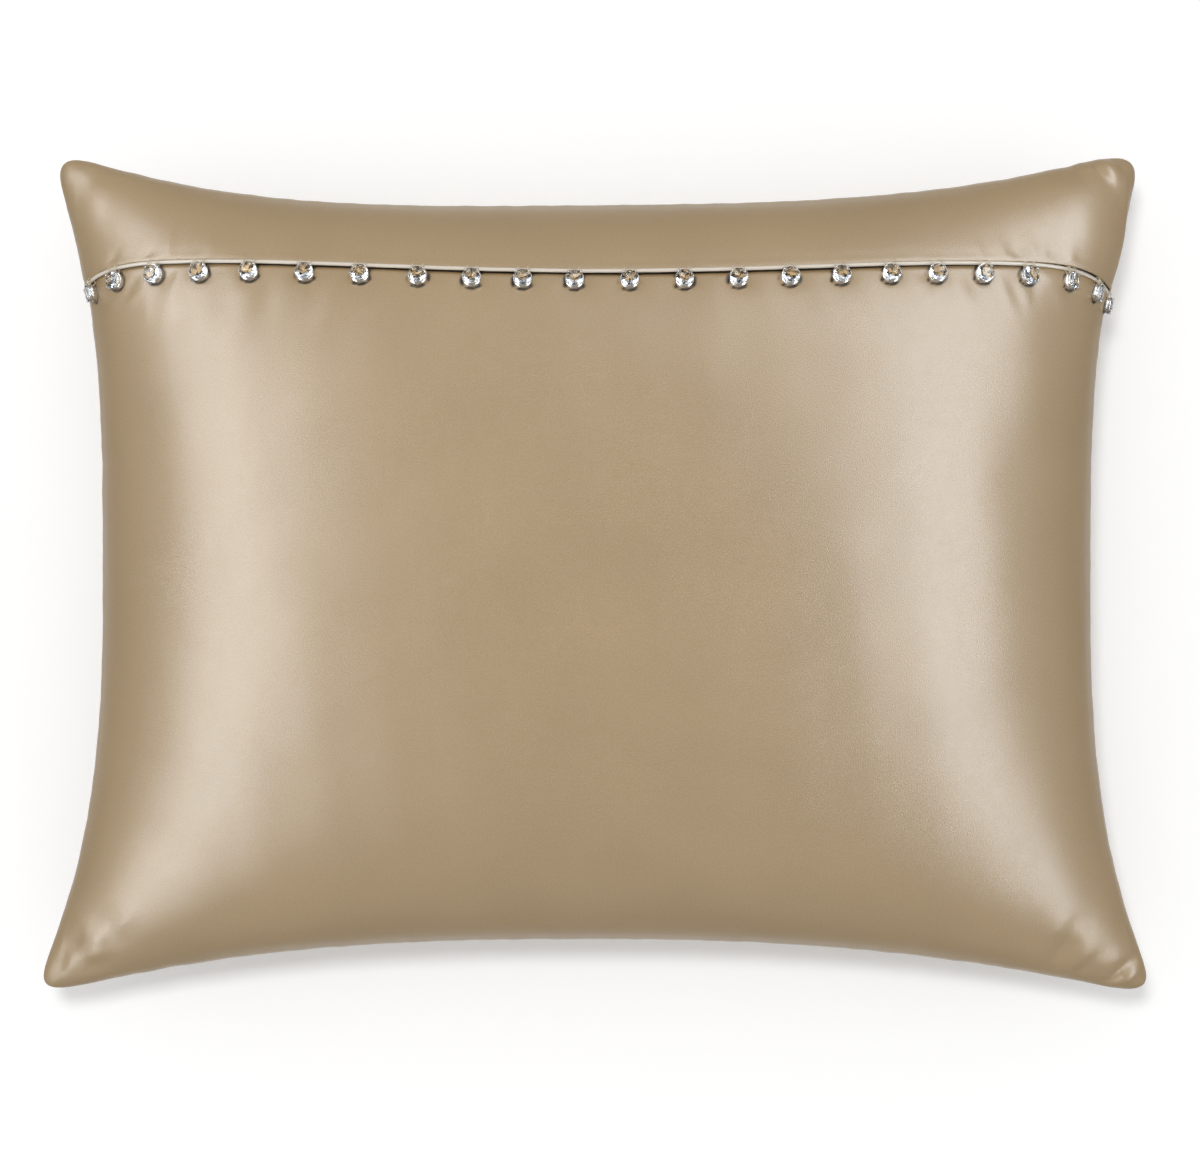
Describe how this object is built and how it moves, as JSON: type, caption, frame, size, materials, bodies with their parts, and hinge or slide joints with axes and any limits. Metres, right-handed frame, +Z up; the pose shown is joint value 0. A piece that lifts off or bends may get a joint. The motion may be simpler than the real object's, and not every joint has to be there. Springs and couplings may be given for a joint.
{
  "type": "pillow sham",
  "caption": "Filled satin pillow sham lying on its back, with a header flap edged in satin piping and a row of round glass jewels in claw settings.",
  "frame": {"origin": "centre of the sham's bounding box at the height of the surface that it lies on", "axes": "+X to the right along the header, +Y from the foot to the header edge, +Z up out of the sham's front"},
  "size_m": [0.6378, 0.4806, 0.171],
  "materials": {
    "satin": "champagne satin",
    "piping_satin": "pale glossy satin",
    "setting_silver": "polished silver plate",
    "crystal": "clear cut glass"
  },
  "bodies": {
    "root": {"sham_body": "satin", "header_flap": "satin", "piping": "piping_satin", "setting_01": "setting_silver", "setting_02": "setting_silver", "setting_03": "setting_silver", "setting_04": "setting_silver", "setting_05": "setting_silver", "setting_06": "setting_silver", "setting_07": "setting_silver", "setting_08": "setting_silver", "setting_09": "setting_silver", "setting_10": "setting_silver", "setting_11": "setting_silver", "setting_12": "setting_silver", "setting_13": "setting_silver", "setting_14": "setting_silver", "setting_15": "setting_silver", "setting_16": "setting_silver", "setting_17": "setting_silver", "setting_18": "setting_silver", "setting_19": "setting_silver", "setting_20": "setting_silver", "setting_21": "setting_silver", "setting_22": "setting_silver", "setting_23": "setting_silver", "stone_01": "crystal", "stone_02": "crystal", "stone_03": "crystal", "stone_04": "crystal", "stone_05": "crystal", "stone_06": "crystal", "stone_07": "crystal", "stone_08": "crystal", "stone_09": "crystal", "stone_10": "crystal", "stone_11": "crystal", "stone_12": "crystal", "stone_13": "crystal", "stone_14": "crystal", "stone_15": "crystal", "stone_16": "crystal", "stone_17": "crystal", "stone_18": "crystal", "stone_19": "crystal", "stone_20": "crystal", "stone_21": "crystal", "stone_22": "crystal", "stone_23": "crystal"}
  },
  "joints": []
}
